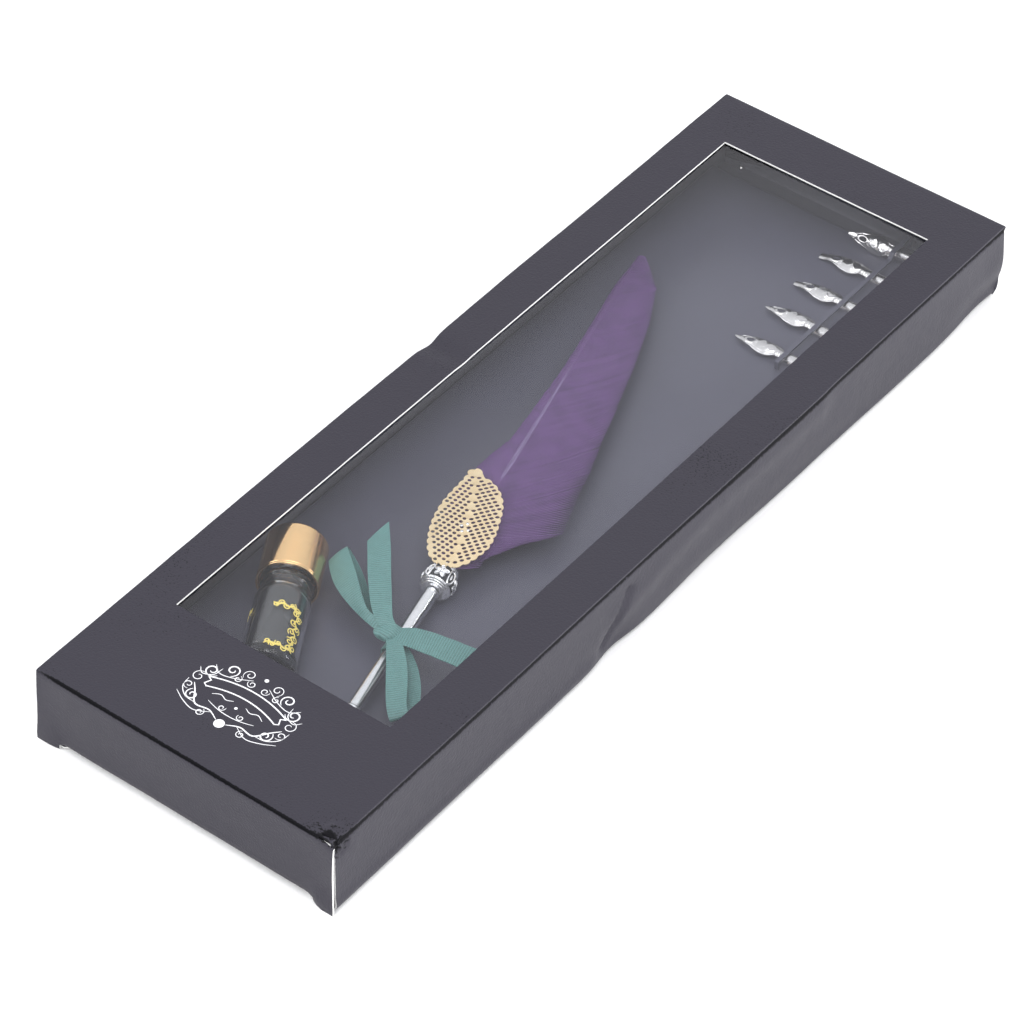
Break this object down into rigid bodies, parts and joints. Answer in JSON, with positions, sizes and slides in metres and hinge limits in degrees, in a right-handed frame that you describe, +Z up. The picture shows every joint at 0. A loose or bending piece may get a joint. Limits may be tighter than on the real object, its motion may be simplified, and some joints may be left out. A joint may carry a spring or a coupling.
{
  "type": "boxed feather dip pen set",
  "caption": "Flat window carton holding a feather dip pen with a ribbon bow, a capped ink bottle and spare nibs on a formed tray.",
  "frame": {"origin": "centre of the carton's underside", "axes": "+X across the carton, +Y along it towards the spare nibs, +Z up through the window"},
  "size_m": [0.1, 0.31, 0.026],
  "materials": {
    "carton_board": "black board, fine embossed leather grain, satin varnish, white core at cut edges",
    "window_film": "clear flexible film, glossy, slightly wavy",
    "tray_sheet": "black formed plastic sheet, glossy",
    "nib_steel": "bright plated steel, stamped",
    "shaft_chrome": "bright chrome plate",
    "antique_silver": "antique silver casting, dark in the recesses",
    "gold_filigree": "pale gold plate, satin",
    "feather_barbs": "dyed purple goose feather, soft sheen",
    "feather_shaft": "dyed quill, smooth",
    "ribbon_satin": "teal satin ribbon, fine cross ribs",
    "cap_gold": "gold anodised, brushed round",
    "liner_foam": "white sealing foam",
    "bottle_glass": "clear glass with a gold printed frame",
    "ink": "black liquid ink"
  },
  "bodies": {
    "set": {"carton_top_panel": "carton_board", "carton_bottom_panel": "carton_board", "carton_left_wall": "carton_board", "carton_right_wall": "carton_board", "carton_glue_flap": "carton_board", "front_dust_flap_left": "carton_board", "front_dust_flap_right": "carton_board", "rear_dust_flap_left": "carton_board", "rear_dust_flap_right": "carton_board", "window_film": "window_film", "insert_tray": "tray_sheet", "nib_strap": "tray_sheet", "ferrule_bead": "antique_silver", "pen_shaft": "shaft_chrome", "nib_holder": "shaft_chrome", "feather_quill": "feather_shaft", "feather_vane": "feather_barbs", "filigree_leaf": "gold_filigree", "ribbon_wrap": "ribbon_satin", "ribbon_knot": "ribbon_satin", "ribbon_loop_left": "ribbon_satin", "ribbon_loop_right": "ribbon_satin", "ribbon_tail_left": "ribbon_satin", "ribbon_tail_right": "ribbon_satin", "bottle_glass": "bottle_glass", "ink": "ink"},
    "front_closure": {"front_closure_panel": "carton_board"},
    "front_tuck": {"front_tuck_flap": "carton_board"},
    "rear_closure": {"rear_closure_panel": "carton_board"},
    "rear_tuck": {"rear_tuck_flap": "carton_board"},
    "cap_seal": {"cap_liner": "liner_foam"},
    "cap": {"bottle_cap": "cap_gold"},
    "pen_nib": {"pen_nib": "nib_steel"},
    "spare_nib_1": {"spare_nib_1": "nib_steel"},
    "spare_nib_2": {"spare_nib_2": "nib_steel"},
    "spare_nib_3": {"spare_nib_3": "nib_steel"},
    "spare_nib_4": {"spare_nib_4": "nib_steel"},
    "spare_nib_5": {"spare_nib_5": "nib_steel"}
  },
  "joints": [
    {"name": "front_closure_hinge", "type": "hinge", "parent": "set", "child": "front_closure", "pos_m": [0, -0.155, 0.0254], "axis": [-1, 0, 0], "range_deg": [0, 110]},
    {"name": "front_tuck_fold", "type": "hinge", "parent": "front_closure", "child": "front_tuck", "pos_m": [0, -0.1544, 0.0022], "axis": [1, 0, 0], "range_deg": [0, 61]},
    {"name": "rear_closure_hinge", "type": "hinge", "parent": "set", "child": "rear_closure", "pos_m": [0, 0.155, 0.0254], "axis": [1, 0, 0], "range_deg": [0, 110]},
    {"name": "rear_tuck_fold", "type": "hinge", "parent": "rear_closure", "child": "rear_tuck", "pos_m": [0, 0.1544, 0.0022], "axis": [-1, 0, 0], "range_deg": [0, 61]},
    {"name": "cap_travel", "type": "slide", "parent": "set", "child": "cap_seal", "axis": [-0.4924, 0.8704, 0], "range_m": [0, 0.00961]},
    {"name": "cap_turn", "type": "hinge", "parent": "cap_seal", "child": "cap", "pos_m": [-0.034, -0.0674, 0.0146], "axis": [-0.4924, 0.8704, 0], "range_deg": [0, 1440]},
    {"name": "pen_nib_pull", "type": "slide", "parent": "set", "child": "pen_nib", "axis": [0.2112, -0.977, -0.0297], "range_m": [0, 0.0075]},
    {"name": "spare_nib_1_pull", "type": "slide", "parent": "set", "child": "spare_nib_1", "axis": [-0.9976, -0.0698, 0], "range_m": [0, 0.014]},
    {"name": "spare_nib_2_pull", "type": "slide", "parent": "set", "child": "spare_nib_2", "axis": [-0.9976, -0.0698, 0], "range_m": [0, 0.014]},
    {"name": "spare_nib_3_pull", "type": "slide", "parent": "set", "child": "spare_nib_3", "axis": [-0.9976, -0.0698, 0], "range_m": [0, 0.014]},
    {"name": "spare_nib_4_pull", "type": "slide", "parent": "set", "child": "spare_nib_4", "axis": [-0.9976, -0.0698, 0], "range_m": [0, 0.014]},
    {"name": "spare_nib_5_pull", "type": "slide", "parent": "set", "child": "spare_nib_5", "axis": [-0.9976, -0.0698, 0], "range_m": [0, 0.014]}
  ],
  "couplings": [
    {"joint": "front_tuck_fold", "follows": "front_closure_hinge", "ratio": 0.55},
    {"joint": "rear_tuck_fold", "follows": "rear_closure_hinge", "ratio": 0.55},
    {"joint": "cap_travel", "follows": "cap_turn", "m_per_rad": 0.00038197}
  ]
}
